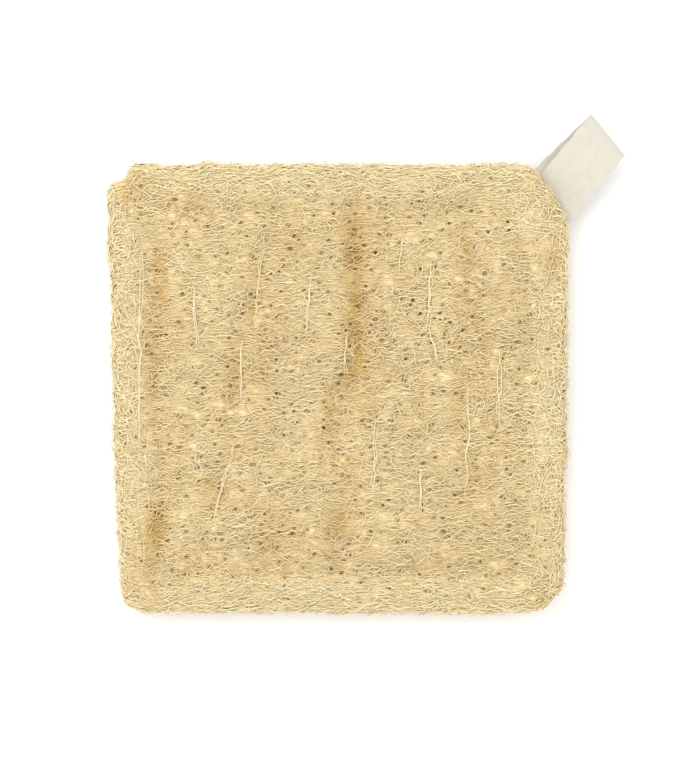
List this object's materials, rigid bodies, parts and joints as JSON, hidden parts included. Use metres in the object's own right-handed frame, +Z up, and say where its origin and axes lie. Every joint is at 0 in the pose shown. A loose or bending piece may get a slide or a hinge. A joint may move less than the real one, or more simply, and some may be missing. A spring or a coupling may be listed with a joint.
{
  "type": "natural loofah washing pad",
  "caption": "Square washing pad of two sewn layers of raised loofah fibre net, with a folded cotton tape hanging loop at one corner.",
  "frame": {"origin": "on the surface the pad lies on, under the middle of the box that holds pad and loop", "axes": "+Z up out of the front layer, +Y along the fruit's length, +X across it, the loop towards +X and +Y"},
  "size_m": [0.1462, 0.1412, 0.0132],
  "materials": {
    "loofah_fibre": "dry matt plant fibre, pale straw with browner furrows",
    "loofah_fibre_back": "dry matt plant fibre, pale straw",
    "cotton_tape": "unbleached cotton tape, plain weave",
    "cotton_thread": "unbleached cotton thread"
  },
  "bodies": {
    "root": {"loofah_front": "loofah_fibre", "loofah_back": "loofah_fibre_back", "hanging_loop": "cotton_tape", "seam_thread": "cotton_thread"}
  },
  "joints": []
}
